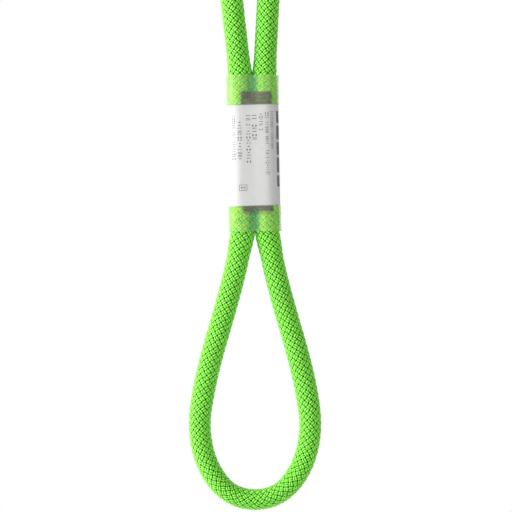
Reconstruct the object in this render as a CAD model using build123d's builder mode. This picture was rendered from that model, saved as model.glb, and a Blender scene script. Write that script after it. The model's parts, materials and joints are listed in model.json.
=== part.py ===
# A double lanyard of dynamic climbing rope. The rope is folded at its middle into a tie-in eye, with its two
# legs sewn together under a clear sleeve. Each arm ends in a sewn loop that hangs on a bar.
#
# Frame: millimetres, +Z up, +X to the right and +Y to the back. The origin is on the axis of the hanging bar,
# straight above the lower end of the middle sleeve. The bar lies along X.

from build123d import *
from math import asin, cos, hypot, pi, radians, sin, sqrt, tan
import os

os.makedirs("parts", exist_ok=True)

# Rope
rope_diameter = 9.5
sheath_wall = 0.9
core_fit = 0.05  # between the sheath and the core strands
strand_gap = 0.1  # between one core strand and the next
outer_strands = 6  # round one middle strand

# Sewn stretches, where two ropes lie side by side
squash = 1.095  # how much wider than round the needle and thread pull a rope, at the same area
sewn_gap = 0.2  # between the two ropes
thread = 0.5
thread_pitch = 1.02  # from one stitch row to the next
stitched_length = 50.6
stitched_drop = 7.2  # from the sleeve's top edge to the first row
stitch_overhang = 1.3  # how far a row reaches past each rope's middle

# Label and clear sleeve
label_length = 43.3
label_drop = 12.3  # from the sleeve's top edge to the label
label_fit = 0.05
label_wall = 0.15
sleeve_fit = 0.1
sleeve_wall = 0.4
sleeve_length = 66.3

# Free rope between the sewn stretches
neck_length = 12.0  # the stretch beside each sleeve that flexes
arm_run = 54.0  # straight rope between an arm's two small bends
middle_bend = 2.0  # from the middle sleeve's top to the bend above it
sleeve_lean = 1.0  # degrees that the middle sleeve leans to the left
arm_lean = {"left": -6.4, "right": 2.9}  # degrees from plumb, to the right

# End loops
bar_diameter = 18.0
bar_fit = 0.25
loop_drop = 42.0  # from the bar's axis to the end sleeve's top
loop_corners = 4  # of the route round the bar
straight_out = 3.0  # rope that leaves an end sleeve in line with it
tail_setback = 3.0  # from the end sleeve's lower edge up to the sealed tail
seal_length = 1.2

# Route of the tie-in eye, half of it: how far out from the sewn rope's line, and how far below the sleeve
eye_route = [
    (0.0, 0.0),
    (0.0, 2.5),
    (0.8, 7.5),
    (3.1, 17.0),
    (7.8, 34.5),
    (13.4, 53.5),
    (17.0, 69.5),
    (18.7, 83.5),
    (15.9, 98.0),
    (8.6, 109.3),
    (-0.1, 113.9),
]
eye_neck_corners = 2  # of those points, the ones in the stretch that flexes
arc_share = 0.45  # of a run between two points, what the arc at one of them may take up
never_along = Vector(0, 1, 0.3)  # a direction that no rope runs in

rope_radius = rope_diameter / 2
bore_radius = rope_radius - sheath_wall
strand_diameter = 2 * (bore_radius - core_fit - strand_gap) / 3  # three strands across, with their two gaps
strand_circle = strand_diameter + strand_gap
sewn_width = rope_diameter * squash
sewn_depth = rope_diameter / squash
half_pitch = (sewn_width + sewn_gap) / 2
seat_radius = bar_diameter / 2 + bar_fit + rope_radius


# ---- the frames that the pieces are placed by ----


def toward(lean):
    """The direction that leans from plumb to the right by that many degrees, going up."""
    return Vector(sin(radians(lean)), 0, cos(radians(lean)))


# An arm is one straight line from the bar's axis to the bend above the middle sleeve.
side_of = {"left": -1, "right": 1}
axis_of_middle = toward(-sleeve_lean)
across_middle = axis_of_middle.cross(Vector(0, 1, 0)) * -1
bend_height = {
    side: half_pitch * sign * across_middle.Z + (sleeve_length + middle_bend) * axis_of_middle.Z
    for side, sign in side_of.items()
}
end_bend_z = -sqrt((loop_drop + sleeve_length + neck_length / 2) ** 2 + half_pitch**2)
middle_sleeve_z = end_bend_z - arm_run - max(bend_height.values())
middle_plane = Plane(
    origin=(0, 0, middle_sleeve_z), x_dir=across_middle, z_dir=axis_of_middle
)


def on_middle(x, up):
    """A point of the middle sleeve's own frame: x to the right of its axis, up from its lower edge."""
    return middle_plane.from_local_coords(Vector(x, 0, up))


middle_bend_at = {
    side: on_middle(sign * half_pitch, sleeve_length + middle_bend) for side, sign in side_of.items()
}
end_bend_at = {
    side: middle_bend_at[side]
    + toward(arm_lean[side]) * ((end_bend_z - middle_bend_at[side].Z) / toward(arm_lean[side]).Z)
    for side in side_of
}


def end_plane(side):
    """The frame of an end loop. Its origin is on the bar's axis, x points from the standing rope to the tail
    and z up along the sleeve. The loop tilts until the standing rope leaves it right below the bar."""
    arm = toward(arm_lean[side])
    bend = end_bend_at[side]
    reach = -bend.Z / arm.Z
    tilt = asin(half_pitch / reach)
    up = arm * cos(tilt) - Vector(0, 1, 0) * sin(tilt)
    back = Vector(0, 1, 0) * cos(tilt) + arm * sin(tilt)
    return Plane(origin=bend + arm * reach, x_dir=back, z_dir=up), sqrt(reach**2 - half_pitch**2)


# ---- routes ----


def corner_radius(route, i):
    """The arc at a route's point, in its share of the shorter run beside it."""
    before, after = route[i] - route[i - 1], route[i + 1] - route[i]
    half_turn = radians(before.get_angle(after)) / 2
    return arc_share * min(before.length, after.length) / tan(half_turn)


def stretch(name, route, first, last):
    """The path round a route's points first to last. It starts in the middle of the run before and ends in
    the middle of the run after, or at the route's own end."""
    start = route[0] if first == 1 else (route[first - 1] + route[first]) / 2
    end = route[-1] if last == len(route) - 2 else (route[last] + route[last + 1]) / 2
    radii = [corner_radius(route, i) for i in range(first, last + 1)]
    with BuildLine() as path:
        FilletPolyline(start, *route[first : last + 1], end, radius=radii)
    print(f"{name}: {path.wire().length:.1f} mm, radii", " ".join(f"{r:.1f}" for r in radii))
    return path.wire()


# ---- sections ----


def strand_places():
    """The middles of the core strands in a round rope."""
    ring = [2 * pi * i / outer_strands for i in range(outer_strands)]
    return [(0, 0), *[(strand_circle * cos(a), strand_circle * sin(a)) for a in ring]]


def round_sheath(plane):
    with BuildSketch(plane) as ring:
        Circle(rope_radius)
        Circle(bore_radius, mode=Mode.SUBTRACT)
    return ring.sketch


def round_core(plane):
    with BuildSketch(plane) as strands:
        with Locations(*strand_places()):
            Circle(strand_diameter / 2)
    return strands.sketch


def sewn_sheath(plane, x):
    with BuildSketch(plane) as ring:
        with Locations((x, 0)):
            Ellipse(sewn_width / 2, sewn_depth / 2)
            Ellipse(bore_radius * squash, bore_radius / squash, mode=Mode.SUBTRACT)
    return ring.sketch


def sewn_core(plane, x):
    with BuildSketch(plane) as strands:
        with Locations(*[(x + u * squash, v / squash) for u, v in strand_places()]):
            Ellipse(strand_diameter / 2 * squash, strand_diameter / 2 / squash)
    return strands.sketch


def wrap(offset, mode=Mode.ADD):
    """The outline round two sewn ropes, that far out from them: half ellipses joined by straight lines."""
    wide, deep = sewn_width / 2 + offset, sewn_depth / 2 + offset
    with BuildLine(Plane.XY) as outline:
        EllipticalCenterArc((half_pitch, 0), wide, deep, -90, arc_size=180)
        Line((half_pitch, deep), (-half_pitch, deep))
        EllipticalCenterArc((-half_pitch, 0), wide, deep, 90, arc_size=180)
        Line((-half_pitch, -deep), (half_pitch, -deep))
    make_face(outline.edges(), mode=mode)


# ---- pieces ----


def save(part, name):
    part.label = name
    export_step(part, f"parts/{name}.step")


def swept(name, section, *paths):
    """One tube or bundle along each path. Its volume is printed beside section times length."""
    with BuildPart() as piece:
        expected = 0
        for path in paths:
            across = (path % 0).cross(never_along)
            face = section(Plane(origin=path @ 0, z_dir=path % 0, x_dir=across))
            expected += face.area * path.length
            sweep(sections=face, path=path)
    print(f"{name}: {piece.part.volume:.0f} mm3, section times length {expected:.0f} mm3")
    save(piece.part, name)


def sewn_pair(name, plane, tail_start):
    """The two ropes of a sewn stretch, up to the sleeve's top. The second one starts at tail_start."""
    for layer, section in (("sheath", sewn_sheath), ("core", sewn_core)):
        with BuildPart() as piece:
            for x, start in ((-half_pitch, 0), (half_pitch, tail_start)):
                extrude(section(plane.offset(start), x), amount=sleeve_length - start)
        save(piece.part, f"{name}_sewn_{layer}")


def stitching(name, plane):
    """Rows of thread, each a closed ring that goes through both ropes and across their front and back."""
    width = 2 * (half_pitch + stitch_overhang)
    with BuildPart() as ring:
        with BuildSketch(plane.offset(sleeve_length - stitched_drop)):
            RectangleRounded(width, sewn_depth, stitch_overhang)
            RectangleRounded(
                width - 2 * thread, sewn_depth - 2 * thread, stitch_overhang - thread, mode=Mode.SUBTRACT
            )
        extrude(amount=-thread)
    rows = round(stitched_length / thread_pitch)
    steps = [plane.z_dir * (-thread_pitch * row) for row in range(rows)]
    save(Compound([ring.part.solid().moved(Location(step)) for step in steps]), name)


def wrapped(name, plane, inside, wall, start, length):
    """A thin tube round both ropes of a sewn stretch."""
    with BuildPart() as piece:
        with BuildSketch(plane.offset(start)):
            wrap(inside + wall)
            wrap(inside, mode=Mode.SUBTRACT)
        extrude(amount=length)
    save(piece.part, name)


def clear_sleeve(name, plane):
    inside = label_fit + label_wall + sleeve_fit
    wrapped(name, plane, inside, sleeve_wall, 0, sleeve_length)


# ---- middle sleeve ----

sewn_pair("middle", middle_plane, 0)
stitching("middle_stitching", middle_plane)
wrapped(
    "middle_label",
    middle_plane,
    label_fit,
    label_wall,
    sleeve_length - label_drop - label_length,
    label_length,
)
clear_sleeve("middle_clear_sleeve", middle_plane)

# ---- tie-in eye ----


def half_eye(side):
    """The eye's route on one side, from the sleeve to its lowest run. It starts in line with the sleeve."""
    sign = side_of[side]
    start = [on_middle(sign * half_pitch, -down) for out, down in eye_route[:2]]
    rest = [Vector(sign * (half_pitch + out), 0, middle_sleeve_z - down) for out, down in eye_route[2:]]
    return start + rest


eye = [*half_eye("left"), *reversed(half_eye("right"))]
last_corner = len(eye) - 2
eye_paths = {
    "eye_neck": [
        stretch("left eye neck", eye, 1, eye_neck_corners),
        stretch("right eye neck", eye, last_corner - eye_neck_corners + 1, last_corner),
    ],
    "eye": [stretch("eye", eye, eye_neck_corners + 1, last_corner - eye_neck_corners)],
}

# ---- arms ----

arm_paths = {"end_neck": [], "middle_neck": [], "left_arm": [], "right_arm": []}
for side, sign in side_of.items():
    arm = toward(arm_lean[side])
    plane, height = end_plane(side)
    sleeve_end = plane.from_local_coords(Vector(-half_pitch, 0, neck_length / 2 - height))
    below_end = end_bend_at[side] - arm * (neck_length / 2)
    above_middle = middle_bend_at[side] + arm * (neck_length - middle_bend)
    middle_top = on_middle(sign * half_pitch, sleeve_length)
    end_neck = [sleeve_end, end_bend_at[side], below_end]
    middle_neck = [above_middle, middle_bend_at[side], middle_top]
    arm_paths["end_neck"].append(stretch(f"{side} end neck", end_neck, 1, 1))
    arm_paths["middle_neck"].append(stretch(f"{side} middle neck", middle_neck, 1, 1))
    with BuildLine() as straight:
        Line(below_end, above_middle)
    arm_paths[f"{side}_arm"].append(straight.wire())

for name, paths in {**eye_paths, **arm_paths}.items():
    swept(f"{name}_sheath", round_sheath, *paths)
    swept(f"{name}_core", round_core, *paths)

# ---- end loops ----


def loop_route(plane, drop):
    """Round the bar, from the standing rope at the end sleeve's top to the tail beside it. The legs run
    straight to the circle that the rope lies on, and a polygon round that circle has the corners between."""
    rise = drop - straight_out
    splay = asin(seat_radius / hypot(rise, half_pitch)) - asin(half_pitch / hypot(rise, half_pitch))
    step = (pi + 2 * splay) / loop_corners
    angles = [pi + splay - step * (i + 0.5) for i in range(loop_corners)]
    corner = seat_radius / cos(step / 2)
    flat = [
        (-half_pitch, -drop),
        (-half_pitch, -rise),
        *[(corner * cos(a), corner * sin(a)) for a in angles],
        (half_pitch, -rise),
        (half_pitch, -drop),
    ]
    return [plane.from_local_coords(Vector(x, 0, z)) for x, z in flat]


for side in side_of:
    plane, height = end_plane(side)
    lower_edge = plane.offset(neck_length / 2 - height)
    sewn_pair(f"{side}_end", lower_edge, tail_setback + seal_length)
    stitching(f"{side}_end_stitching", lower_edge)
    clear_sleeve(f"{side}_end_clear_sleeve", lower_edge)
    with BuildPart() as seal:
        with BuildSketch(lower_edge.offset(tail_setback)):
            with Locations((half_pitch, 0)):
                Ellipse(sewn_width / 2, sewn_depth / 2)
        extrude(amount=seal_length)
    save(seal.part, f"{side}_tail_seal")
    around = loop_route(plane, height - neck_length / 2 - sleeve_length)
    loop = stretch(f"{side} end loop", around, 1, len(around) - 2)
    swept(f"{side}_end_loop_sheath", round_sheath, loop)
    swept(f"{side}_end_loop_core", round_core, loop)
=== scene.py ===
import json
import math

import bpy
import numpy as np
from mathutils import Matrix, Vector


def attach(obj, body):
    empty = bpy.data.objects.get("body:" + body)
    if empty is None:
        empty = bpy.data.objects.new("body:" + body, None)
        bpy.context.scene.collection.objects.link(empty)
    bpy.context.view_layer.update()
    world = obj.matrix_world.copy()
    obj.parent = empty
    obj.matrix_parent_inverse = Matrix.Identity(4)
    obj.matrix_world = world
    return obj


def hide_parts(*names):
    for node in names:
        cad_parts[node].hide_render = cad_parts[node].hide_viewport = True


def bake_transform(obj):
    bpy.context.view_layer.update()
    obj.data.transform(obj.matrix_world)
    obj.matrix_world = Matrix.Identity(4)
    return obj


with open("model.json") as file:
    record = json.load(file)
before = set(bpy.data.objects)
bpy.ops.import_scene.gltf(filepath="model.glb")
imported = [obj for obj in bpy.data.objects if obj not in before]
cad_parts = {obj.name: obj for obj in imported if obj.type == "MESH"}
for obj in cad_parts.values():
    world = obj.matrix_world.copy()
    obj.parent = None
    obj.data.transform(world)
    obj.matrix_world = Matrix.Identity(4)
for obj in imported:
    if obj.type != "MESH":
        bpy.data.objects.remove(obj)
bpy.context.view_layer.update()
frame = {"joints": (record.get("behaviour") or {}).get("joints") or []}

bl_info = {
    "name": "Sewn rope lanyard",
    "version": (1, 0, 0),
    "blender": (4, 5, 0),
    "location": "View3D > Sidebar > Lanyard",
    "description": "Braided rope, stitching, label and clear sleeves round the packed lanyard",
    "category": "Object",
}

MM = 0.001
HINGE = {joint["name"]: Vector(joint["pos_m"]) for joint in frame["joints"]}
SIDES = {"left": -1, "right": 1}
BACK, UP = np.array((0.0, 1.0, 0.0)), np.array((0.0, 0.0, 1.0))


# ---- sizes and places of the CAD model, in metres and degrees ----

ROPE_RADIUS = 0.00475
HALF_PITCH = 0.00530125  # half the distance between the two ropes' middle lines at a sleeve's mouth
SEWN_WIDE, SEWN_DEEP = 0.00520125, 0.00433790  # half the width and half the depth of a sewn rope
SLEEVE_LENGTH = 0.0663
SLEEVE_LEAN = 1.0  # to the left, going up
ARM_LEAN = {"left": -6.4, "right": 2.9}  # to the right, going up
MIDDLE_Z = -0.236805  # the middle sleeve's lower edge
NECK = 0.012  # length of the rope that bends beside a stiff sewn part
MIDDLE_BEND = 0.002  # from the middle sleeve's upper edge to the point where an arm leans away
SEAT_RADIUS = 0.014  # from the bar's axis to the rope's middle line
SEAT_CORNERS = 4  # control points of the rope's line round the bar
STRAIGHT_OUT = 0.003  # how far the ropes run straight on from an end sleeve's upper edge
TAIL_START = 0.0042  # from an end sleeve's lower edge up to the sealed tail
# The sewing's length, its start below the sleeve's upper edge, and the distance between rows
STITCHED_LENGTH, STITCHED_DROP, STITCH_PITCH = 0.0506, 0.0072, 0.00102

# Half of the tie-in eye: how far out from the sewn rope's line, and how far below the sleeve
EYE_ROUTE = [
    (0.0, 0.0),
    (0.0002, 0.0022),
    (0.0012, 0.0070),
    (0.0031, 0.0170),
    (0.0078, 0.0345),
    (0.0134, 0.0535),
    (0.0170, 0.0695),
    (0.0187, 0.0835),
    (0.0159, 0.0980),
    (0.0086, 0.1093),
    (-0.0001, 0.1139),
]


# ---- sizes of the drawn pieces, in metres, radians or shares ----

# The rope
ROPE_PITCH = 0.00500  # half the ropes' distance where the thread pulls them onto each other
CROWN = 0.00012  # how far a slack rope's crowns stand proud of its measured size
SEWN_SPREAD, SPREAD_FADE = 0.13, 0.012  # how much wider a sewn rope is, and the length over which that fades
BEND_PINCH, BEND_EASY, BEND_TIGHT = 0.40, 0.03, 0.5  # how much a bend narrows it, and from and up to which bend
ARM_CUT = 0.036  # above the middle sleeve, where the arm's mesh meets the end loop's
SLEEVE_CUT = 0.033  # above the middle sleeve's lower edge, under the label
MOUTH_DEPTH, PULLED_DEPTH = 0.003, 0.005  # below the sleeve's upper edge: where an arm is fully oval, and plumb
BEND_REACH = 0.018  # how far from a hinge the freer rope still bends
LINE_STEP, SAME_PLACE = 0.0004, 1e-9  # between a middle line's points, and between two that count as one
AHEAD_BLUR, CURVE_BLUR = 11, 33  # how many of those points its direction and its bend are averaged over
SQUARENESS = 1.6  # how flat a pair of yarns runs over the one it crosses
# low sets how far the yarn's colour is darkened into painted crease shade
CREASE_DEPTH, CREASE_START = 0.0009, 0.13  # the depth over which low grows by one, and low at the rope's radius
CORE_RADIUS, CORE_RIPPLE, CORE_STEP = 0.00385, 0.00004, 0.0015
CORE_STRANDS, CORE_TWIST = 7, 180  # ripples round it, and radians of twist a metre

# The section of a pair of yarns, side by side: how far across and how far out
PAIR_SECTION = np.array([
    (-0.96, -0.26), (-0.93, -0.02), (-0.76, 0.22), (-0.50, 0.30), (-0.24, 0.20), (-0.04, -0.08),
    (0.04, -0.08), (0.24, 0.20), (0.50, 0.30), (0.76, 0.22), (0.93, -0.02), (0.96, -0.26),
]) * MM

# The stitching
STITCH_REACH, STITCH_SHIFT = 0.0064, 0.0015  # half a row, and how far the rows sit to the right
STITCH_DIP = 0.0012  # how far a row sinks into the valley between the ropes
THREAD_RADIUS, THREAD_SEAT = 0.00025, 0.00003  # the seat is how high its middle lies over the ropes
SEAT_SOFTNESS, ROW_TURN = 0.0002, 0.22  # how gently a row leaves the ropes, and how soon it turns at its ends
ROW_WAVES, ROW_SLOPE = (0.00009, 0.00007), 0.016  # height of its two waves, and how much it usually leans

# The label and its print. Gaps are measured out from the sewn ropes
LABEL_LENGTH, LABEL_DROP = 0.0429, 0.0126  # its height, and its start below the sleeve's upper edge
LABEL_TILT = 0.02  # how much higher the wrapped label sits for each length to the right
LABEL_GAPS, PRINT_GAP = (0.00036, 0.00024), 0.00039
LABEL_SAG = 0.00010  # how far it sinks between the ropes
PRINT_EDGE = 0.0001  # the print keeps this far in front of the middle plane
MARK_SHARE = 0.85  # chance that a place in a line of small print holds a mark
MARK_WIDTH, MARK_STEP = 0.62, 1.15  # a mark's length by the line's height, and its spacing by its length
MARK_CELL = 0.0003  # longest cell across a mark's patch

# A line of small print: its middle, its height across, and where it starts and ends down the label
PRINT_LINES = [
    (-0.0084, 0.0014, 0.0045, 0.0236),
    (-0.0058, 0.0018, 0.0045, 0.0249),
    (-0.0021, 0.0018, 0.0045, 0.0253),
    (0.0005, 0.0019, 0.0045, 0.0164),
    (0.0033, 0.0015, 0.0040, 0.0125),
    (0.0058, 0.0014, 0.0036, 0.0308),
    (0.0079, 0.0012, 0.0032, 0.0202),
]
# The strokes of a plain mark in such a line: the shares of it across and along at which each starts and ends
STROKES = [
    [(0.0, 1.0, 0.0, 0.25)],
    [(0.0, 0.4, 0.0, 0.3), (0.6, 1.0, 0.0, 0.3)],
    [(0.0, 1.0, 0.0, 0.22), (0.0, 1.0, 0.5, 0.72)],
    [(0.25, 0.75, 0.1, 0.45)],
    [(0.0, 0.3, 0.0, 0.7), (0.7, 1.0, 0.0, 0.7)],
]
# The plain bars and the outlined box: left and right edges from the label's middle, then upper and lower ones
# from its top
PRINT_BARS = [
    (0.00975, 0.01080, 0.0030, 0.0080),
    (0.00975, 0.01080, 0.0092, 0.0150),
    (0.00975, 0.01080, 0.0162, 0.0215),
    (0.00975, 0.01080, 0.0227, 0.0290),
    (0.00975, 0.01080, 0.0302, 0.0350),
    (-0.00640, -0.00300, 0.0338, 0.0340),
    (-0.00640, -0.00300, 0.0361, 0.0363),
    (-0.00640, -0.00620, 0.0338, 0.0363),
    (-0.00320, -0.00300, 0.0338, 0.0363),
    (-0.00560, -0.00500, 0.0347, 0.0353),
    (-0.00440, -0.00380, 0.0347, 0.0353),
]

# The clear sleeves
FILM_INSIDE = 0.00043  # from the sewn ropes out to the film's inner skin
FILM_WAVE, FILM_RIPPLES = 0.00005, ((900, 260), (500, 310))  # radians a metre: across and up, in depth and up
FILM_LIP, LIP_FADE = 0.00018, 0.0012  # how far its ends flare, and the length over which that fades
DIP_SHARE = 0.92  # how far from the middle to a rope's crown the sinking film reaches
PRINT_EDGE_SOFT, SEWN_EDGE_SOFT = 0.0004, 0.0008  # over which its tint changes at the label and the stitching
UNPRINTED = (1.0, 1.0)  # heights beyond any sleeve, for one with no label under it
# The valley's tint is painted shade between the two ropes, on the film over it
SHADED_VALLEY_HALF, SHADED_VALLEY_SOFT = 0.0021, 0.0012  # half the tinted valley's width, and over which its tint changes
# How far up a sleeve, as a share of it, and how far the film sinks between the ropes there
MIDDLE_SAGS = [
    (0.0, 0.0012),
    (0.13, 0.0011),
    (0.165, 0.00012),
    (0.81, 0.00012),
    (0.85, 0.0011),
    (1.0, 0.0012),
]
END_SAGS = [(0.0, 0.0012), (1.0, 0.0012)]

# The stage: a light's size and its place, and half the floor's side and its height
LIGHTS = {
    "key": (0.5, (-0.93, -0.24, 0.12)),
    "fill": (0.8, (0.3, -1.2, 0.25)),
    "rim": (0.8, (0.45, 1.1, 0.20)),
}
FLOOR_EDGE, FLOOR_Z = 0.65, -0.45

# Seeds of what varies by chance
TINT_SEED, ROW_SEED, PRINT_SEED = 7, 11, 5


# ---- sizes and colours that a user would change ----


class RopeSettings(bpy.types.PropertyGroup):
    pairs: bpy.props.IntProperty(name="Yarn pairs", description="Pairs of yarns each way", default=10, min=4)
    lay: bpy.props.FloatProperty(
        name="Lay", description="Rope length in which a yarn goes once round", default=0.029, unit="LENGTH"
    )
    relief: bpy.props.FloatProperty(
        name="Relief", description="How far a pair rises over another", default=0.00030, unit="LENGTH"
    )
    pinch: bpy.props.FloatProperty(
        name="Pinch", description="How much narrower a pair is where it dives", default=0.24, min=0, max=0.5
    )
    step: bpy.props.FloatProperty(
        name="Step", description="Distance between a yarn's rings", default=0.00040, unit="LENGTH"
    )
    colour: bpy.props.FloatVectorProperty(
        name="Yarn", description="Colour of the cover's yarns", default=(0.175, 0.82, 0.045), subtype="COLOR"
    )
    # Painted shade: the near-black green the yarn darkens to deep in its creases; the melted seal's dark tone
    # uses it too
    crease_shade_and_burn: bpy.props.FloatVectorProperty(
        name="Crease", description="Colour deep between the yarns", default=(0.0, 0.05, 0.0), subtype="COLOR"
    )
    # Painted shade: the core is coloured near-black green to stand for the shadow under the cover
    core: bpy.props.FloatVectorProperty(
        name="Core", description="Colour of the strands inside", default=(0.001, 0.03, 0.001), subtype="COLOR"
    )


class SleeveSettings(bpy.types.PropertyGroup):
    wall: bpy.props.FloatProperty(
        name="Film", description="Thickness of the clear sleeve", default=0.0003, unit="LENGTH"
    )
    veil: bpy.props.FloatProperty(
        name="Veil", description="How milky the clear sleeve is", default=0.30, min=0, max=1
    )
    film: bpy.props.FloatVectorProperty(
        name="Film colour", description="Colour of its haze", default=(0.36, 0.78, 0.16), subtype="COLOR"
    )
    speck: bpy.props.FloatVectorProperty(
        name="Specks", description="Colour of the film's specks", default=(0.60, 0.86, 0.20), subtype="COLOR"
    )
    # Painted shade: the darker colour of the film over the valley between the ropes
    valley: bpy.props.FloatVectorProperty(
        name="Valley", description="Colour between the ropes", default=(0.17, 0.44, 0.20), subtype="COLOR"
    )
    sewn: bpy.props.FloatVectorProperty(
        name="Over thread", description="Colour over stitching", default=(0.25, 0.28, 0.18), subtype="COLOR"
    )
    label: bpy.props.FloatVectorProperty(
        name="Label colour", description="Colour of the label", default=(0.59, 0.59, 0.585), subtype="COLOR"
    )
    ink: bpy.props.FloatVectorProperty(
        name="Print colour", description="Colour of the print", default=(0.03, 0.03, 0.03), subtype="COLOR"
    )
    thread: bpy.props.FloatVectorProperty(
        name="Thread colour", description="Colour of the rows", default=(0.04, 0.035, 0.03), subtype="COLOR"
    )


class StageSettings(bpy.types.PropertyGroup):
    view_width: bpy.props.FloatProperty(
        name="View width", description="Width of the view at the rope", default=0.2176, unit="LENGTH"
    )
    distance: bpy.props.FloatProperty(
        name="Distance", description="From the camera to the rope", default=0.9, unit="LENGTH"
    )
    view_x: bpy.props.FloatProperty(
        name="View x", description="Middle of the view, from side to side", default=0.0004, unit="LENGTH"
    )
    view_drop: bpy.props.FloatProperty(
        name="View drop", description="Middle of the view, below the sleeve", default=0.0104, unit="LENGTH"
    )
    key: bpy.props.FloatProperty(name="Key light", description="Watts of light from the left", default=18.0)
    fill: bpy.props.FloatProperty(name="Fill light", description="Watts of light from the front", default=4.5)
    rim: bpy.props.FloatProperty(name="Rim light", description="Watts of light from the back", default=6.0)
    sky: bpy.props.FloatProperty(name="Sky", description="Strength of the even light all round", default=0.38)


# ---- frames and routes ----


class Frame:
    """A place and three axes: x across the two ropes, y to the back of it and z up along the sleeve."""

    def __init__(self, origin, x, z):
        self.origin, self.x, self.z = np.array(origin), np.array(x), np.array(z)
        self.y = np.cross(self.z, self.x)

    def at(self, x, y, z):
        """The points at those distances from the origin along the three axes."""
        x, y, z = np.broadcast_arrays(x, y, z)
        return self.origin + x[..., None] * self.x + y[..., None] * self.y + z[..., None] * self.z

    def raised(self, z):
        """The same frame, moved that far up its own z axis."""
        return Frame(self.origin + self.z * z, self.x, self.z)


def toward(lean):
    """The direction that leans from plumb to the right by that many degrees, going up."""
    return np.array((math.sin(math.radians(lean)), 0.0, math.cos(math.radians(lean))))


MIDDLE = Frame((0, 0, MIDDLE_Z), toward(90 - SLEEVE_LEAN), toward(-SLEEVE_LEAN))


def middle_bend(side):
    """The point above the middle sleeve where the arm's straight line begins."""
    return MIDDLE.at(SIDES[side] * HALF_PITCH, 0, SLEEVE_LENGTH + MIDDLE_BEND)


def end_bend(side):
    """The point below an end sleeve where the arm's straight line ends."""
    low, arm = middle_bend(side), toward(ARM_LEAN[side])
    return low + arm * (HINGE["arms_swing"].z - low[2]) / arm[2]


def end_frame(side):
    """An end loop's frame, with its origin on the bar's axis, and how far down the loop the arm's straight
    line ends."""
    arm, bend = toward(ARM_LEAN[side]), end_bend(side)
    reach = -bend[2] / arm[2]
    tilt = math.asin(HALF_PITCH / reach)
    up = arm * math.cos(tilt) - BACK * math.sin(tilt)
    back = BACK * math.cos(tilt) + arm * math.sin(tilt)
    return Frame(bend + arm * reach, back, up), math.sqrt(reach**2 - HALF_PITCH**2)


def end_sleeve(side):
    """An end loop's frame, with its origin at the sleeve's lower edge."""
    loop, height = end_frame(side)
    return loop.raised(NECK / 2 - height)


def sleeve_places():
    """Each sewn pair's frame, with its origin at the sleeve's lower edge, and the body it belongs to."""
    return {"middle": (MIDDLE, "middle"), **{f"{side}_end": (end_sleeve(side), "ends") for side in SIDES}}


def bend_span(joint, above, below):
    """The points that far above and below a joint's hinge, between which the rope bends."""
    return HINGE[joint] + Vector((0, 0, above)), HINGE[joint] - Vector((0, 0, below))


def arm_cut(side):
    """The point along the arm where one mesh of its rope ends and the next begins."""
    low, arm = middle_bend(side), toward(ARM_LEAN[side])
    return low + arm * (ARM_CUT - MIDDLE_BEND)


def end_route(side):
    """From the sealed tail up through the end sleeve, round the bar, down through the sleeve and along the
    arm."""
    loop, height = end_frame(side)
    sleeve_end = height - NECK / 2
    drop = sleeve_end - SLEEVE_LENGTH
    rise = drop - STRAIGHT_OUT
    slant = math.hypot(rise, ROPE_PITCH)
    splay = math.asin(SEAT_RADIUS / slant) - math.asin(ROPE_PITCH / slant)
    step = (math.pi + 2 * splay) / SEAT_CORNERS
    angles = [step * (i + 0.5) - splay for i in range(SEAT_CORNERS)]
    corner = SEAT_RADIUS / math.cos(step / 2)
    flat = [(ROPE_PITCH, TAIL_START - sleeve_end), (ROPE_PITCH, -drop), (ROPE_PITCH, -rise)]
    flat += [(corner * math.cos(a), corner * math.sin(a)) for a in angles]
    flat += [(-ROPE_PITCH, -rise), (-ROPE_PITCH, -drop), (-ROPE_PITCH, -sleeve_end)]
    bend, arm = end_bend(side), toward(ARM_LEAN[side])
    return [loop.at(x, 0, z) for x, z in flat] + [bend, bend - arm * NECK / 2, arm_cut(side)]


def arm_route(side):
    """From the cut in the arm down to the middle sleeve and into it."""
    low, arm, x = middle_bend(side), toward(ARM_LEAN[side]), SIDES[side] * ROPE_PITCH
    inside = [MIDDLE.at(x, 0, z) for z in (SLEEVE_LENGTH, SLEEVE_LENGTH - PULLED_DEPTH, SLEEVE_CUT)]
    return [arm_cut(side), low + arm * (NECK - MIDDLE_BEND), low, *inside]


def eye_route():
    """From the middle sleeve's left rope down round the eye and up into its right rope."""
    halves = []
    for sign in SIDES.values():
        inside = [MIDDLE.at(sign * ROPE_PITCH, 0, z) for z in (SLEEVE_CUT, 0)]
        rest = [np.array((sign * (HALF_PITCH + out), 0, MIDDLE_Z - down)) for out, down in EYE_ROUTE[1:]]
        halves.append(inside + rest)
    return halves[0] + halves[1][::-1]


def spline_points(name, route):
    """The points of the NURBS spline whose control points are the route's, as Blender gives them for a bare
    curve."""
    curve = bpy.data.curves.new(name, "CURVE")
    curve.dimensions = "3D"
    curve.resolution_u = 48
    spline = curve.splines.new("NURBS")
    spline.points.add(len(route) - 1)
    for point, place in zip(spline.points, route):
        point.co = (*place, 1.0)
    spline.order_u = 3
    spline.use_endpoint_u = True
    holder = bpy.data.objects.new(name, curve)
    bpy.context.scene.collection.objects.link(holder)
    bpy.context.view_layer.update()
    mesh = bpy.data.meshes.new_from_object(holder)
    points = np.empty(len(mesh.vertices) * 3)
    mesh.vertices.foreach_get("co", points)
    bpy.data.objects.remove(holder)
    bpy.data.curves.remove(curve)
    bpy.data.meshes.remove(mesh)
    return points.reshape(-1, 3)


def smooth(x):
    """Nothing below 0, one above 1, and an even S-shaped change between."""
    x = np.clip(x, 0, 1)
    return x * x * (3 - 2 * x)


def within(distance, softness):
    """One well inside an edge and nothing well outside it: distance counts inwards, and softness is the
    change's length."""
    return smooth(distance / softness + 0.5)


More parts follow.
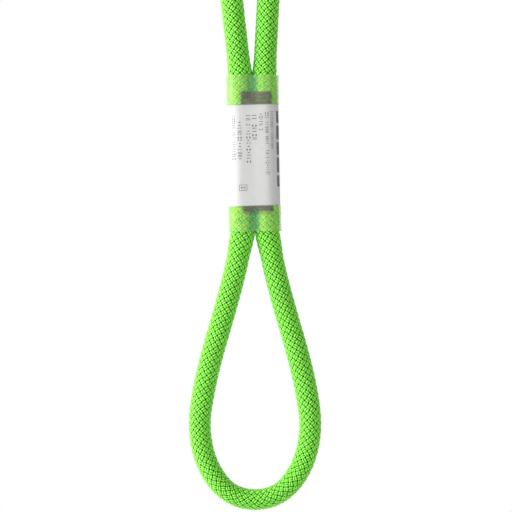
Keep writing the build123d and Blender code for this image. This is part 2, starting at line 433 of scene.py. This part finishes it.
def blur(values, points):
    """A row of values, each one the weighted mean of that odd number of neighbours."""
    weights = np.hanning(points + 2)[1:-1]
    return np.convolve(np.pad(values, points // 2, mode="edge"), weights / weights.sum(), mode="valid")


def read_rows(places, known, rows):
    """Rows of three numbers at those places, read from rows at the known ones."""
    return np.stack([np.interp(places, known, rows[:, k]) for k in range(3)], axis=-1)


class Line:
    """A rope's middle line with the axes of its section: side lies in the plane of the line and normal is
    square to it. A section is wider along side by the factor wide, and thinner along normal by the same
    factor."""

    def __init__(self, name, route, normal, sewn):
        points = spline_points(name, route)
        gaps = np.linalg.norm(np.diff(points, axis=0), axis=1)
        points = points[np.concatenate(([True], gaps > SAME_PLACE))]
        reach = np.concatenate(([0], np.cumsum(gaps[gaps > SAME_PLACE])))
        self.length = reach[-1]
        self.s = np.linspace(0, self.length, int(self.length / LINE_STEP) + 2)
        self.points = read_rows(self.s, reach, points)
        ahead = np.gradient(self.points, self.s, axis=0)
        ahead = np.stack([blur(ahead[:, k], AHEAD_BLUR) for k in range(3)], axis=1)
        self.ahead = ahead / np.linalg.norm(ahead, axis=1, keepdims=True)
        self.normal = np.array(normal) / np.linalg.norm(normal)
        side = np.cross(self.normal, self.ahead)
        self.side = side / np.linalg.norm(side, axis=1, keepdims=True)
        self.wide = self._width(sewn)

    def _width(self, sewn):
        """One where the rope is free and more between each sewn pair of points, with a gradual change outside
        them, and a little less in a tight bend, by the rope's radius over the bend's."""
        wide = np.ones_like(self.s)
        for inner, outer in sewn:
            a, b = (self.s[np.argmin(np.linalg.norm(self.points - p, axis=1))] for p in (inner, outer))
            away = np.maximum(np.minimum(a, b) - self.s, self.s - np.maximum(a, b))
            wide += SEWN_SPREAD * (1 - smooth(away / SPREAD_FADE))
        bend = blur(np.linalg.norm(np.gradient(self.ahead, self.s, axis=0), axis=1), CURVE_BLUR)
        return wide * (1 - BEND_PINCH * np.clip(bend * ROPE_RADIUS - BEND_EASY, 0, BEND_TIGHT))

    def surface(self, along, angle, radius):
        """Points at that distance along the line, that angle round it from side towards normal, and that
        radius."""
        inside = np.clip(along, 0, self.length)
        over = (along - inside)[..., None]
        wide = np.interp(inside, self.s, self.wide)
        middle = read_rows(inside, self.s, self.points) + over * read_rows(inside, self.s, self.ahead)
        sideways = (radius * np.cos(angle) * wide)[..., None] * read_rows(inside, self.s, self.side)
        return middle + sideways + (radius * np.sin(angle) / wide)[..., None] * self.normal


# ---- meshes ----


def tube_faces(tubes, rings, around):
    """Quads of tubes whose points are numbered tube by tube and ring by ring, and one face for each open
    end."""
    tube = np.arange(tubes)[:, None, None] * rings * around
    ring = np.arange(rings - 1)[None, :, None] * around
    here = np.arange(around)[None, None, :]
    there = (here + 1) % around
    quads = np.stack([tube + ring + here, tube + ring + there, tube + ring + around + there,
                      tube + ring + around + here], axis=-1).reshape(-1, 4)
    first = np.arange(tubes)[:, None] * rings * around + np.arange(around)[None, ::-1]
    last = np.arange(tubes)[:, None] * rings * around + (rings - 1) * around + np.arange(around)[None, :]
    return quads.tolist() + first.tolist() + last.tolist()


def ring_faces(count, around, sides):
    """Quads of closed rings of thread whose points are numbered ring by ring and section by section."""
    ring = np.arange(count)[:, None, None] * around * sides
    section, side = np.arange(around)[None, :, None] * sides, np.arange(sides)[None, None, :]
    ahead, beside = (section + sides) % (around * sides), (side + 1) % sides
    quads = [ring + section + side, ring + ahead + side, ring + ahead + beside, ring + section + beside]
    return np.stack(quads, axis=-1).reshape(-1, 4).tolist()


def shell_faces(rings, around):
    """Quads of a pipe with a wall: the outer skin's rings, then the inner skin's, joined at both rims."""
    size = rings * around
    outer = np.array(tube_faces(1, rings, around)[: (rings - 1) * around])
    inner = outer[:, ::-1] + size
    here = np.arange(around)
    there = (here + 1) % around
    top = (rings - 1) * around
    low_rim = np.stack([there, here, here + size, there + size], axis=1)
    high_rim = np.stack([here + top, there + top, there + top + size, here + top + size], axis=1)
    return np.concatenate([outer, inner, low_rim, high_rim]).tolist()


def new_piece(name, points, faces, material, slot, **attributes):
    """A mesh object at the origin with smooth faces and one float or vector attribute for each array
    given."""
    mesh = bpy.data.meshes.new(name)
    mesh.from_pydata(points.reshape(-1, 3).tolist(), [], faces)
    mesh.polygons.foreach_set("use_smooth", np.ones(len(mesh.polygons), dtype=bool))
    for key, values in attributes.items():
        vector = values.shape[-1] == 3
        attribute = mesh.attributes.new(key, "FLOAT_VECTOR" if vector else "FLOAT", "POINT")
        attribute.data.foreach_set("vector" if vector else "value", values.astype(np.float32).ravel())
    mesh.materials.append(material)
    mesh.update()
    piece = bpy.data.objects.new(name, mesh)
    bpy.context.scene.collection.objects.link(piece)
    return piece


def braid(name, line, hand, settings, material, start, twist):
    """The yarn pairs that go one way round the rope. A pair's middle is a helix, at an angle that grows
    evenly along the line, and it rises over one pair and dips under the next: its height is a squared-off
    cosine of the crossings it has passed. The section is laid on the rope's round surface square to the
    helix. Start and twist carry the pattern on from the mesh before. The attributes are fibre, the place
    along and across the pair in millimetres with the pair's own tint, and low, the depth below the crowns,
    which sets the painted shade in the creases."""
    pairs, lay = settings.pairs, settings.lay
    middle = ROPE_RADIUS + CROWN - settings.relief - PAIR_SECTION[:, 1].max()
    slant = math.atan(2 * math.pi * middle / lay)
    s = np.linspace(0, line.length, int(line.length / settings.step) + 2)
    across, out = PAIR_SECTION[:, 0], PAIR_SECTION[:, 1]
    crossings = 2 * pairs * (s + start) / lay
    over = np.tanh(SQUARENESS * hand * np.cos(math.pi * crossings)) / math.tanh(SQUARENESS)
    squeeze = 1 - settings.pinch * (1 - over**2)
    first = 2 * math.pi * np.arange(pairs) / pairs + twist
    turn = hand * 2 * math.pi * (s + start) / lay
    beside = across[None, None, :] * squeeze[None, :, None]
    angle = first[:, None, None] + turn[None, :, None] + beside * math.cos(slant) / middle
    along = s[None, :, None] - hand * beside * math.sin(slant) + 0 * angle
    radius = middle + settings.relief * over[None, :, None] + out[None, None, :] + 0 * angle
    tint = np.random.default_rng(TINT_SEED + hand).uniform(0, 1, pairs)
    fibre = np.stack(np.broadcast_arrays(along / MM, across[None, None, :] / MM, tint[:, None, None]), axis=-1)
    # low drives the painted shade that darkens the yarn deep between the pairs
    low = np.clip((ROPE_RADIUS - radius) / CREASE_DEPTH + CREASE_START, 0, 1)
    points, faces = line.surface(along, angle, radius), tube_faces(pairs, len(s), len(across))
    return new_piece(name, points, faces, material, "sheath", fibre=fibre, low=low[..., None])


def rope_core(name, line, material):
    """The body inside the cover: a closed tube whose radius is a slow twisted ripple, a crest for each strand
    inside."""
    s = np.linspace(0, line.length, int(line.length / CORE_STEP) + 2)[:, None]
    angle = np.linspace(0, 2 * math.pi, 32, endpoint=False)[None, :]
    radius = CORE_RADIUS + CORE_RIPPLE * np.cos(CORE_STRANDS * angle + s * CORE_TWIST)
    points = line.surface(s + 0 * angle, angle + 0 * s, radius)
    # Its colour is painted shade, seen through the gaps between the yarns
    return new_piece(name, points, tube_faces(1, s.size, angle.size), material, "core")


def hull_outline(around, gap, sag):
    """The outline drawn tight round the two sewn ropes at that gap: the outer halves of two ellipses and the
    straight runs between their crowns, walked at even steps. It gives each point's x and y, and the part of y
    that it loses where a film sinks into the valley: sag at the middle, nothing from near the crowns on,
    changing evenly between."""
    wide, deep = SEWN_WIDE + gap, SEWN_DEEP + gap
    turn = np.linspace(-math.pi / 2, math.pi / 2, 400)
    right = np.stack([HALF_PITCH + wide * np.cos(turn), deep * np.sin(turn)], axis=1)
    across = np.linspace(HALF_PITCH, -HALF_PITCH, 200)[1:-1]
    back = np.stack([across, np.full_like(across, deep)], axis=1)
    loop = np.concatenate([right, back, -right, -back, right[:1]])
    reach = np.concatenate(([0], np.cumsum(np.linalg.norm(np.diff(loop, axis=0), axis=1))))
    places = np.linspace(0, reach[-1], around, endpoint=False)
    x, y = np.interp(places, reach, loop[:, 0]), np.interp(places, reach, loop[:, 1])
    dip = 1 - smooth(np.abs(x) / (DIP_SHARE * HALF_PITCH))
    return x, y, dip[None, :] * np.sign(y)[None, :] * sag


def film(name, place, settings, material, sags, printed, sewn):
    """A clear tube drawn tight round both ropes: its section is the outline round them, sunk into the valley
    between by an amount that changes along the sleeve, with slow waves where it has shrunk unevenly and a lip
    at each end. It takes the tint of what it clings to: printed and sewn are the heights between which that
    is the label and the stitching."""
    rings, around = 150, 140
    z = np.linspace(0, SLEEVE_LENGTH, rings)
    heights, depths = zip(*sags)
    sag = np.interp(z, np.array(heights) * SLEEVE_LENGTH, depths)[:, None]
    (across_rate, up_rate), (depth_rate, second_up_rate) = FILM_RIPPLES
    skins = []
    for gap in (FILM_INSIDE + settings.wall, FILM_INSIDE):
        x, y, dip = hull_outline(around, gap, sag)
        wave = np.sin(across_rate * x[None, :] + up_rate * z[:, None])
        wave = FILM_WAVE * wave * np.sin(second_up_rate * z[:, None] + depth_rate * y[None, :])
        lip = FILM_LIP * np.exp(-np.minimum(z, SLEEVE_LENGTH - z) / LIP_FADE)[:, None]
        swell = 1 + (wave + lip) / np.hypot(x, y)[None, :]
        skins.append(place.at(x[None, :] * swell, y[None, :] * swell - dip, z[:, None]))

    def spread(tall, round_it):
        return np.broadcast_to((tall[:, None] * round_it)[None, :, :, None], (2, rings, around, 1))

    def between(heights, softness):
        return within(z - heights[0], softness) * within(heights[1] - z, softness)

    rows = within(STITCH_REACH - np.abs(x - STITCH_SHIFT), SEWN_EDGE_SOFT)
    # Painted shade: the film's colour darkens over the valley between the ropes
    valley = within(SHADED_VALLEY_HALF - np.abs(x), SHADED_VALLEY_SOFT)
    return new_piece(name, np.concatenate(skins), shell_faces(rings, around), material, "clear_sleeve",
                     printed=spread(between(printed, PRINT_EDGE_SOFT), np.ones(around)),
                     sewn=spread(between(sewn, SEWN_EDGE_SOFT), rows), valley=spread(np.ones(rings), valley))


def stitches(name, place, material):
    """Rows of thread pulled round both ropes, each two closed rings of round thread that sink into the valley
    between them: a row's depth is the ropes' elliptical surface or the valley's floor, whichever is further
    out, with a soft change. A row leans a little and sits unevenly, as a machine lays it: small slow waves
    whose phases differ from row to row."""
    rows, around, sides = 2 * (round(STITCHED_LENGTH / STITCH_PITCH) + 1), 64, 5
    chance = np.random.default_rng(ROW_SEED)
    heights = SLEEVE_LENGTH - STITCHED_DROP - np.arange(rows) * STITCH_PITCH / 2
    turn = np.linspace(0, 2 * math.pi, around, endpoint=False)
    x = STITCH_SHIFT + STITCH_REACH * np.cos(turn)[None, :]
    across = (np.abs(x) - HALF_PITCH) / SEWN_WIDE
    surface = SEWN_DEEP * np.sqrt(np.clip(1 - across**2, 0, 1)) + THREAD_SEAT
    lowest = SEWN_DEEP - STITCH_DIP
    depth = lowest + np.logaddexp(0, (surface - lowest) / SEAT_SOFTNESS) * SEAT_SOFTNESS
    y = np.sign(np.sin(turn))[None, :] * depth * smooth(np.abs(np.sin(turn))[None, :] / ROW_TURN)
    phase = chance.uniform(0, 2 * math.pi, (rows, 3))
    uneven = ROW_WAVES[0] * np.sin(turn[None, :] * 2 + phase[:, :1])
    uneven = uneven + ROW_WAVES[1] * np.sin(turn[None, :] * 5 + phase[:, 1:2])
    slope = chance.normal(0, ROW_SLOPE, rows)[:, None]
    z = heights[:, None] + uneven + slope * x
    middle = np.stack([x + 0 * z, y + 0 * z, z], axis=-1)
    ahead = np.roll(middle, -1, axis=1) - np.roll(middle, 1, axis=1)
    ahead /= np.linalg.norm(ahead, axis=2, keepdims=True)
    out = np.cross(ahead, UP)
    out /= np.linalg.norm(out, axis=2, keepdims=True)
    lift = np.cross(out, ahead)
    ring = np.linspace(0, 2 * math.pi, sides, endpoint=False)
    points = (middle[:, :, None] + THREAD_RADIUS * np.cos(ring)[None, None, :, None] * out[:, :, None]
              + THREAD_RADIUS * np.sin(ring)[None, None, :, None] * lift[:, :, None])
    along = np.broadcast_to(turn[None, :, None] * STITCH_REACH / MM, (rows, around, sides))
    round_it = np.broadcast_to(ring[None, None, :], (rows, around, sides))
    fibre = np.stack([along, round_it, along * 0], axis=-1)
    solid = place.at(points[..., 0], points[..., 1], points[..., 2])
    return new_piece(name, solid, ring_faces(rows, around, sides), material, "stitching", fibre=fibre)


def label_wrap(name, material):
    """A thin printed label wrapped once round both ropes: the outline round them at two gaps, sunk a little
    between them, from the label's lower edge to its upper one, with a closed rim at each."""
    rings, around = 90, 240
    z = SLEEVE_LENGTH - LABEL_DROP - LABEL_LENGTH * np.linspace(1, 0, rings)[:, None]
    skins = []
    for gap in LABEL_GAPS:
        x, y, dip = hull_outline(around, gap, LABEL_SAG)
        skins.append(MIDDLE.at(x[None, :], y[None, :] - dip, z + LABEL_TILT * x[None, :]))
    return new_piece(name, np.concatenate(skins), shell_faces(rings, around), material, "label")


def print_marks(name, material):
    """Flat marks on the label: lines of plain strokes that stand for its small print, plain bars and an
    outlined box. Each mark is a patch of the label's own outline between two places across it and two
    heights, a hair in front of it."""
    x, y, dip = hull_outline(2400, PRINT_GAP, LABEL_SAG)
    front = np.flatnonzero(y < -PRINT_EDGE)
    front = front[np.argsort(x[front])]
    across, depth = x[front], (y[None, :] - dip)[0][front]
    chance = np.random.default_rng(PRINT_SEED)
    marks = list(PRINT_BARS)
    for middle, tall, start, end in PRINT_LINES:
        wide = MARK_WIDTH * tall
        while start < end - wide:
            if chance.uniform() < MARK_SHARE:
                left = middle - tall / 2
                for a, b, c, d in STROKES[chance.integers(len(STROKES))]:
                    marks.append((left + a * tall, left + b * tall, start + c * wide, start + d * wide))
            start += wide * MARK_STEP
    top = SLEEVE_LENGTH - LABEL_DROP
    corners, faces, base = [], [], 0
    for left, right, upper, lower in marks:
        cells = int((right - left) / MARK_CELL) + 2
        u = np.linspace(left, right, cells)[None, :]
        heights = top - np.array((upper, lower))[:, None] + LABEL_TILT * u
        corners.append(MIDDLE.at(u, np.interp(u, across, depth), heights).reshape(-1, 3))
        faces += [(base + cells + i, base + cells + i + 1, base + i + 1, base + i) for i in range(cells - 1)]
        base += 2 * cells
    return new_piece(name, np.concatenate(corners), faces, material, "label")


# ---- materials ----


def new_material(name, **sockets):
    """A material, its node tree and its shader, with the sockets set that the keywords name."""
    material = bpy.data.materials.new(name)
    material.use_nodes = True
    shader = material.node_tree.nodes["Principled BSDF"]
    for socket, value in sockets.items():
        shader.inputs[socket.replace("_", " ")].default_value = value
    return material, material.node_tree, shader


def node(tree, kind, inputs=(), **settings):
    """A new node, with each of its inputs linked to a socket or set to a value."""
    made = tree.nodes.new(kind)
    for key, value in settings.items():
        setattr(made, key, value)
    for key, value in dict(inputs).items():
        if isinstance(value, bpy.types.NodeSocket):
            tree.links.new(value, made.inputs[key])
        else:
            made.inputs[key].default_value = value
    return made


def blend_colours(tree, factor, a, b, mode="MIX"):
    """Colour a where the factor is nothing and b where it is one."""
    return node(tree, "ShaderNodeMix", {0: factor, 6: a, 7: b}, data_type="RGBA", blend_type=mode).outputs[2]


def attribute(tree, name, output="Fac"):
    return node(tree, "ShaderNodeAttribute", attribute_name=name).outputs[output]


def noise_at(tree, place, scale, detail):
    return node(tree, "ShaderNodeTexNoise", {"Vector": place, "Scale": scale, "Detail": detail}).outputs["Fac"]


def object_noise(tree, scale, detail):
    """Noise that keeps its place on the object, at that many waves a metre."""
    return noise_at(tree, node(tree, "ShaderNodeTexCoord").outputs["Object"], scale, detail)


def ramp(tree, value, low, high, first=0.0, last=1.0):
    """The value, with low to high stretched to first to last and held there outside."""
    return node(tree, "ShaderNodeMapRange", {0: value, 1: low, 2: high, 3: first, 4: last}).outputs[0]


def calculate(tree, operation, *values):
    return node(tree, "ShaderNodeMath", dict(enumerate(values)), operation=operation).outputs[0]


def roughen(tree, shader, height, strength, distance):
    bump = node(tree, "ShaderNodeBump", {"Height": height, "Strength": strength, "Distance": distance})
    tree.links.new(bump.outputs[0], shader.inputs["Normal"])


def rgba(colour, share=1.0):
    return (*(c * share for c in colour), 1.0)


def yarn_material(settings):
    """Glossy filament yarn: fine fibres along each yarn, a tint of its own for each pair, and painted shade
    where it dives."""
    shine = (1.0, 1.0, 0.5, 1.0)
    material, tree, shader = new_material(
        "cover_yarn", Roughness=0.45, Specular_IOR_Level=1.0, Specular_Tint=shine, Sheen_Weight=0.2,
        Sheen_Roughness=0.45, Sheen_Tint=shine)
    place = attribute(tree, "fibre", "Vector")
    stretched = node(tree, "ShaderNodeVectorMath", {0: place, 1: (0.9, 16.0, 40.0)}, operation="MULTIPLY")
    noise = noise_at(tree, stretched.outputs[0], 1.0, 3.0)
    tint = node(tree, "ShaderNodeSeparateXYZ", {0: place}).outputs["Z"]
    light = blend_colours(tree, tint, rgba(settings.colour, 0.92), rgba(settings.colour, 1.06))
    worn = blend_colours(tree, 1.0, light, ramp(tree, noise, 0.3, 0.7, 0.80, 1.12), "MULTIPLY")
    # Painted shade: the yarn's colour darkens towards the crease shade where it lies low
    depth = ramp(tree, attribute(tree, "low"), 0.17, 0.55)
    tree.links.new(blend_colours(tree, depth, worn, rgba(settings.crease_shade_and_burn)), shader.inputs["Base Color"])
    roughen(tree, shader, noise, 0.5, 0.00008)
    return material


def mottled_material(name, scale, detail, dark, light, **sockets):
    """A surface whose colour drifts between a dark and a light one in cloudy patches."""
    material, tree, shader = new_material(name, **sockets)
    colour = blend_colours(tree, object_noise(tree, scale, detail), dark, light)
    tree.links.new(colour, shader.inputs["Base Color"])
    return material


def core_shade_material(settings):
    """Dull strands, hardly lit under the cover: painted shade, a near-black green in place of the core's own
    white.
    """
    return mottled_material("core_strands", 900.0, 2.0, rgba(settings.core, 0.7), rgba(settings.core, 1.3),
                            Roughness=0.85)


def seal_material(settings):
    """Cover yarn melted at the cut: dark glossy green with burnt patches."""
    return mottled_material("melted_seal", 420.0, 3.0, rgba(settings.crease_shade_and_burn), rgba(settings.colour, 0.55),
                            Roughness=0.3)


def paper_material(settings):
    """Printed film label: off-white, with faint mottling."""
    return mottled_material("label_paper", 700.0, 3.0, rgba(settings.label, 0.93), rgba(settings.label, 1.05),
                            Roughness=0.75, Specular_IOR_Level=0.25)


def ink_material(settings):
    """Print that has worn a little, so that it is greyer in places."""
    material, tree, shader = new_material("label_ink", Roughness=0.55)
    worn = ramp(tree, object_noise(tree, 2600.0, 2.0), 0.45, 0.80, 0.0, 0.6)
    colour = blend_colours(tree, worn, rgba(settings.ink), rgba(settings.label))
    tree.links.new(colour, shader.inputs["Base Color"])
    return material


def thread_material(settings):
    """Waxed twisted thread: slanting plies, with painted shade in their grooves."""
    material, tree, shader = new_material("stitch_thread", Roughness=0.45)
    place = node(tree, "ShaderNodeSeparateXYZ", {0: attribute(tree, "fibre", "Vector")})
    along = calculate(tree, "MULTIPLY", place.outputs["X"], 7.0)
    around = calculate(tree, "MULTIPLY", place.outputs["Y"], 2.0)
    ply = calculate(tree, "SINE", calculate(tree, "ADD", along, around))
    # Painted shade: the ply pattern darkens the thread in its grooves
    shade = ramp(tree, ply, -1.0, 0.6)
    colour = blend_colours(tree, shade, rgba(settings.thread, 0.45), rgba(settings.thread, 1.25))
    tree.links.new(colour, shader.inputs["Base Color"])
    roughen(tree, shader, ply, 0.4, 0.00008)
    return material


def film_material(settings):
    """Clear shrunk film: a thin glossy haze with cloudy patches, tinted where it clings to the ropes, the
    stitching or the label, with painted shade over the valley between the ropes, and clearest over the label's
    print."""
    material, tree, shader = new_material("clear_film", Roughness=0.28)
    material.surface_render_method = "BLENDED"
    tone = ramp(tree, object_noise(tree, 420.0, 4.0), 0.4, 0.75)
    printed = attribute(tree, "printed")
    colour = blend_colours(tree, tone, rgba(settings.film, 0.9), rgba(settings.speck))
    # Painted shade over the valley between the ropes
    colour = blend_colours(tree, attribute(tree, "valley"), colour, rgba(settings.valley))
    colour = blend_colours(tree, attribute(tree, "sewn"), colour, rgba(settings.sewn))
    colour = blend_colours(tree, printed, colour, rgba(settings.label))
    tree.links.new(colour, shader.inputs["Base Color"])
    tree.links.new(ramp(tree, printed, 0.0, 1.0, settings.veil, settings.veil / 6), shader.inputs["Alpha"])
    roughen(tree, shader, object_noise(tree, 1500.0, 2.0), 0.25, 0.0001)
    return material


# ---- operators ----


class LANYARD_OT_camera(bpy.types.Operator):
    """Sets the camera square in front of the middle sleeve and the eye"""

    bl_idname = "lanyard.camera"
    bl_label = "Camera"

    def execute(self, context):
        stage = context.scene.lanyard_stage
        data = bpy.data.cameras.new("camera")
        data.sensor_width = 36.0
        data.lens = data.sensor_width * stage.distance / stage.view_width
        camera = bpy.data.objects.new("camera", data)
        camera.location = (stage.view_x, -stage.distance, MIDDLE_Z - stage.view_drop)
        camera.rotation_euler = (math.radians(90), 0, 0)
        context.scene.collection.objects.link(camera)
        context.scene.camera = camera
        return {"FINISHED"}


class LANYARD_OT_ropes(bpy.types.Operator):
    """Braids the rope: both end loops with their arms, both arms into the middle sleeve, and the tie-in
    eye"""

    bl_idname = "lanyard.ropes"
    bl_label = "Ropes"

    def execute(self, context):
        self.settings = context.scene.lanyard_rope
        self.yarn, self.inner = yarn_material(self.settings), core_shade_material(self.settings)
        for side in SIDES:
            self.arm_rope(side, self.end_rope(side))
        self.eye_rope()
        return {"FINISHED"}

    def end_rope(self, side):
        """From the sealed tail round the bar and down to the cut in the arm. It gives its length."""
        low = end_sleeve(side)
        sewn = [(low.at(-ROPE_PITCH, 0, 0), low.at(-ROPE_PITCH, 0, SLEEVE_LENGTH)),
                (low.at(ROPE_PITCH, 0, TAIL_START), low.at(ROPE_PITCH, 0, SLEEVE_LENGTH))]
        line = Line(f"{side}_end_line", end_route(side), -low.y, sewn)
        stands_for = [f"{side}_end_loop", f"{side}_end_sewn"] + (["end_neck"] if side == "left" else [])
        span = bend_span("arms_swing", NECK / 2, BEND_REACH)
        self.stretch(f"{side}_end_rope", line, stands_for, ("ends", "arms"), span, line.points[0])
        return line.length

    def arm_rope(self, side, begun):
        """From the cut in the arm into the middle sleeve. Its section's axes are a quarter turn on from those
        of the rope above, which is already begun metres long."""
        x = SIDES[side] * ROPE_PITCH
        sewn = [(MIDDLE.at(x, 0, SLEEVE_LENGTH - MOUTH_DEPTH), MIDDLE.at(x, 0, SLEEVE_CUT))]
        line = Line(f"{side}_arm_line", arm_route(side), BACK, sewn)
        stands_for = [f"{side}_arm"] + (["middle_neck", "middle_sewn"] if side == "left" else [])
        span = bend_span("middle_swing", BEND_REACH, NECK / 2)
        self.stretch(f"{side}_arm_rope", line, stands_for, ("arms", "middle"), span, line.points[-1], begun,
                     math.pi / 2)

    def eye_rope(self):
        """From under the label round the eye and back under the label."""
        sewn = [(MIDDLE.at(x, 0, 0), MIDDLE.at(x, 0, SLEEVE_CUT)) for x in (-ROPE_PITCH, ROPE_PITCH)]
        line = Line("eye_line", eye_route(), BACK, sewn)
        span = bend_span("eye_swing", NECK / 2, BEND_REACH)
        self.stretch("eye_rope", line, ["eye", "eye_neck"], ("middle", "eye"), span, line.points[0])

    def stretch(self, name, line, stands_for, bodies, span, leaves, begun=0.0, twist=0.0):
        """A stretch of rope along the line: both lays of yarn and its core, in place of the parts that it
        stands for. The bodies and the span are not used.
        """
        right = braid(f"{name}_right_lay", line, 1, self.settings, self.yarn, begun, twist)
        left = braid(f"{name}_left_lay", line, -1, self.settings, self.yarn, begun, twist)
        core = rope_core(f"{name}_core", line, self.inner)
        for piece in (right, left, core):
            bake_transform(piece)
        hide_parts(*(f"{n}_sheath" for n in stands_for))
        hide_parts(*(f"{n}_core" for n in stands_for))


class LANYARD_OT_stitching(bpy.types.Operator):
    """Sews each pair of ropes together under its sleeve and wraps the label round the middle pair"""

    bl_idname = "lanyard.stitching"
    bl_label = "Stitching and label"

    def execute(self, context):
        settings = context.scene.lanyard_sleeve
        thread = thread_material(settings)
        for name, (place, body) in sleeve_places().items():
            rows = stitches(f"{name}_sewn_rows", place, thread)
            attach(rows, body)
            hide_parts(f"{name}_stitching")
        label = label_wrap("wrap_label", paper_material(settings))
        marks = print_marks("label_print", ink_material(settings))
        for piece in (label, marks):
            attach(piece, "middle")
        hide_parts("middle_label")
        return {"FINISHED"}


class LANYARD_OT_sleeves(bpy.types.Operator):
    """Shrinks a clear sleeve over each sewn pair and melts the cut tails' ends"""

    bl_idname = "lanyard.sleeves"
    bl_label = "Clear sleeves and tails"

    def execute(self, context):
        settings = context.scene.lanyard_sleeve
        clear = film_material(settings)
        sewn = (SLEEVE_LENGTH - STITCHED_DROP - STITCHED_LENGTH, SLEEVE_LENGTH - STITCHED_DROP)
        for name, (place, body) in sleeve_places().items():
            if name == "middle":
                top = SLEEVE_LENGTH - LABEL_DROP
                sags, printed = MIDDLE_SAGS, (top - LABEL_LENGTH, top)
            else:
                sags, printed = END_SAGS, UNPRINTED
            sleeve = film(f"{name}_film", place, settings, clear, sags, printed, sewn)
            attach(sleeve, body)
            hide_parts(f"{name}_clear_sleeve")
        melted = seal_material(context.scene.lanyard_rope)
        for side in SIDES:
            materials = bpy.data.objects[f"{side}_tail_seal"].data.materials
            materials.clear()
            materials.append(melted)
        return {"FINISHED"}


class LANYARD_OT_stage(bpy.types.Operator):
    """Sets a pale floor and soft studio light, brighter from the left"""

    bl_idname = "lanyard.stage"
    bl_label = "Stage"

    def execute(self, context):
        stage = context.scene.lanyard_stage
        world = bpy.data.worlds.new("studio")
        world.use_nodes = True
        tree, sky = world.node_tree, world.node_tree.nodes["Background"]
        seen = node(tree, "ShaderNodeLightPath").outputs["Is Camera Ray"]
        sky.inputs["Color"].default_value = (1, 1, 1, 1)
        tree.links.new(ramp(tree, seen, 0.0, 1.0, stage.sky, 1.0), sky.inputs["Strength"])
        context.scene.world = world
        context.scene.view_settings.view_transform = "Standard"
        mesh = bpy.data.meshes.new("floor")
        corners = [(-FLOOR_EDGE, -FLOOR_EDGE), (FLOOR_EDGE, -FLOOR_EDGE), (FLOOR_EDGE, FLOOR_EDGE),
                   (-FLOOR_EDGE, FLOOR_EDGE)]
        mesh.from_pydata([(x, y, FLOOR_Z) for x, y in corners], [], [(0, 1, 2, 3)])
        mesh.materials.append(new_material("floor", Base_Color=(0.9, 0.9, 0.9, 1), Roughness=0.8)[0])
        floor = bpy.data.objects.new("floor", mesh)
        context.scene.collection.objects.link(floor)
        for name, (size, place) in LIGHTS.items():
            light = bpy.data.lights.new(name, "AREA")
            light.energy, light.size = getattr(stage, name), size
            lamp = bpy.data.objects.new(name, light)
            lamp.location = place
            aim = Vector((0, 0, MIDDLE_Z)) - Vector(place)
            lamp.rotation_euler = aim.to_track_quat("-Z", "Y").to_euler()
            context.scene.collection.objects.link(lamp)
        return {"FINISHED"}


class LANYARD_PT_panel(bpy.types.Panel):
    """The lanyard's pieces, in the order they are made, and their settings"""

    bl_idname = "LANYARD_PT_panel"
    bl_label = "Sewn rope lanyard"
    bl_space_type = "VIEW_3D"
    bl_region_type = "UI"
    bl_category = "Lanyard"

    def draw(self, context):
        for operator in OPERATORS:
            self.layout.operator(operator.bl_idname)
        for name in SETTINGS:
            group, box = getattr(context.scene, name), self.layout.box()
            for key in group.__annotations__:
                box.prop(group, key)


SETTINGS = {"lanyard_rope": RopeSettings, "lanyard_sleeve": SleeveSettings, "lanyard_stage": StageSettings}
OPERATORS = [LANYARD_OT_camera, LANYARD_OT_ropes, LANYARD_OT_stitching, LANYARD_OT_sleeves, LANYARD_OT_stage]


def register():
    for made in (*SETTINGS.values(), *OPERATORS, LANYARD_PT_panel):
        bpy.utils.register_class(made)
    for name, group in SETTINGS.items():
        setattr(bpy.types.Scene, name, bpy.props.PointerProperty(type=group))


def unregister():
    for name in SETTINGS:
        delattr(bpy.types.Scene, name)
    for made in reversed((*SETTINGS.values(), *OPERATORS, LANYARD_PT_panel)):
        bpy.utils.unregister_class(made)


def main():
    register()
    bpy.ops.lanyard.camera()
    bpy.ops.lanyard.ropes()
    bpy.ops.lanyard.stitching()
    bpy.ops.lanyard.sleeves()
    bpy.ops.lanyard.stage()


if __name__ == "__main__":
    main()
